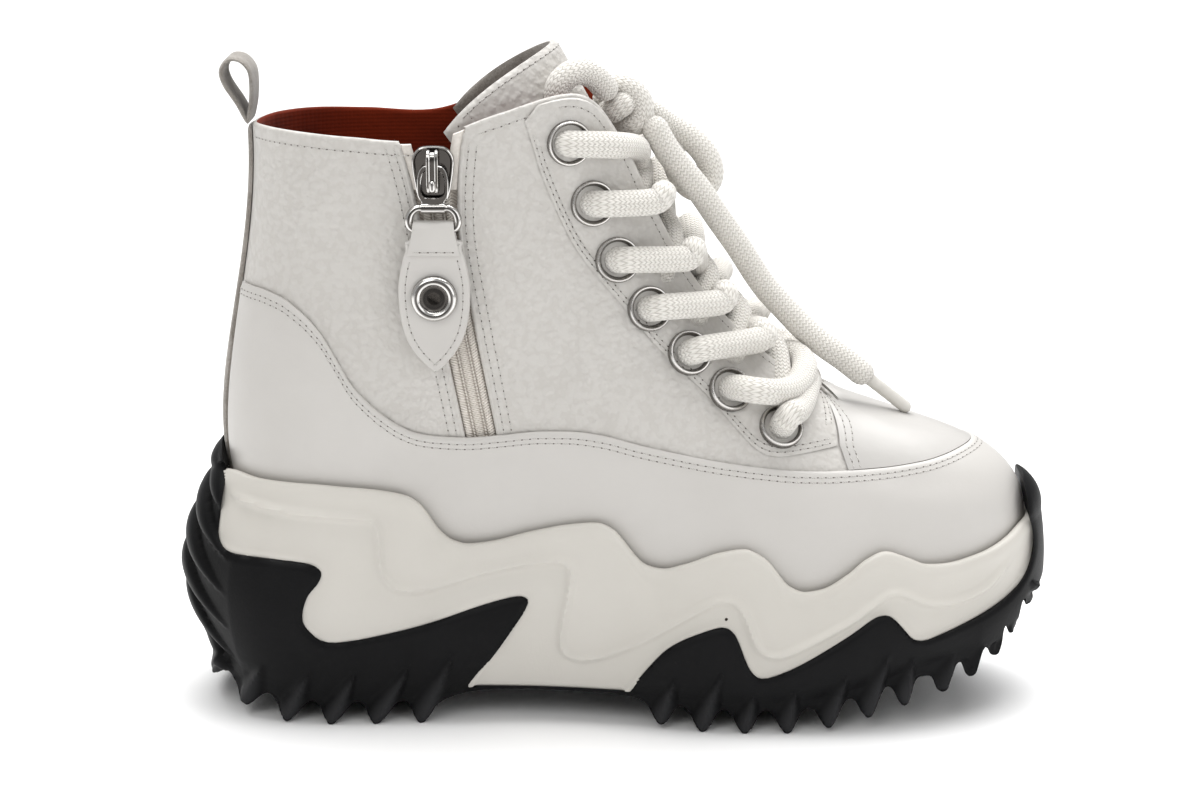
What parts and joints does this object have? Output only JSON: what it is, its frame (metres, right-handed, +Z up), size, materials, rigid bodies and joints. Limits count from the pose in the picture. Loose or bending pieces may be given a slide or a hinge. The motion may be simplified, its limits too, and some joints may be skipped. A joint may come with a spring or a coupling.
{
  "type": "ankle boot",
  "caption": "Left leather ankle boot on a thick cleated platform sole, laced over a tongue, with an inner side zip, a heel pull loop and a hollow upper.",
  "frame": {"origin": "middle of the bounding box in plan, on the ground plane that the lug tips stand on", "axes": "+X heel to toe, +Y the wearer's left (the outer side of this left boot), +Z up"},
  "size_m": [0.2784, 0.1066, 0.2094],
  "materials": {
    "white_leather": "off-white pebbled and smooth leather, low sheen",
    "cream_midsole": "matt cream foam rubber",
    "black_rubber": "matt black rubber",
    "grey_suede": "grey suede",
    "red_lining": "rust-red textile",
    "zip_tape": "beige woven tape",
    "dark_chrome": "polished dark chrome",
    "eyelet_steel": "satin steel",
    "knit_lace": "knitted round lace",
    "lace_tip": "satin tip"
  },
  "bodies": {
    "boot": {"outsole": "black_rubber", "midsole": "cream_midsole", "insole": "red_lining", "upper": "white_leather", "mudguard": "white_leather", "backstay": "grey_suede", "eyestay_medial": "white_leather", "eyestay_lateral": "white_leather", "tongue": "white_leather", "pull_loop": "grey_suede", "zip_tape": "zip_tape", "zip_coil": "zip_tape", "zip_slider": "dark_chrome", "lace_knot": "knit_lace", "lace_free_end": "knit_lace", "lace_front_loop": "knit_lace", "lace_back_loop": "knit_lace", "lace_aglet": "lace_tip", "lace_crossing_1": "knit_lace", "lace_crossing_2": "knit_lace", "lace_crossing_3": "knit_lace", "lace_crossing_4": "knit_lace", "lace_crossing_5": "knit_lace", "lace_crossing_6": "knit_lace", "lace_crossing_7": "knit_lace", "eyelet_medial_1": "eyelet_steel", "eyelet_medial_2": "eyelet_steel", "eyelet_medial_3": "eyelet_steel", "eyelet_medial_4": "eyelet_steel", "eyelet_medial_5": "eyelet_steel", "eyelet_medial_6": "eyelet_steel", "eyelet_medial_7": "eyelet_steel", "eyelet_lateral_1": "eyelet_steel", "eyelet_lateral_2": "eyelet_steel", "eyelet_lateral_3": "eyelet_steel", "eyelet_lateral_4": "eyelet_steel", "eyelet_lateral_5": "eyelet_steel", "eyelet_lateral_6": "eyelet_steel", "eyelet_lateral_7": "eyelet_steel"},
    "zip_link": {"zip_link": "dark_chrome"},
    "zip_pull": {"zip_ring": "dark_chrome", "zip_tab": "white_leather", "zip_rivet": "dark_chrome"}
  },
  "joints": [
    {"name": "link_hinge", "type": "hinge", "parent": "boot", "child": "zip_link", "pos_m": [-0.05395, -0.0388, 0.17528], "axis": [-1, 0, 0], "range_deg": [0, 120]},
    {"name": "pull_hinge", "type": "hinge", "parent": "zip_link", "child": "zip_pull", "pos_m": [-0.05395, -0.03874, 0.16328], "axis": [-1, 0, 0], "range_deg": [0, 50]}
  ]
}
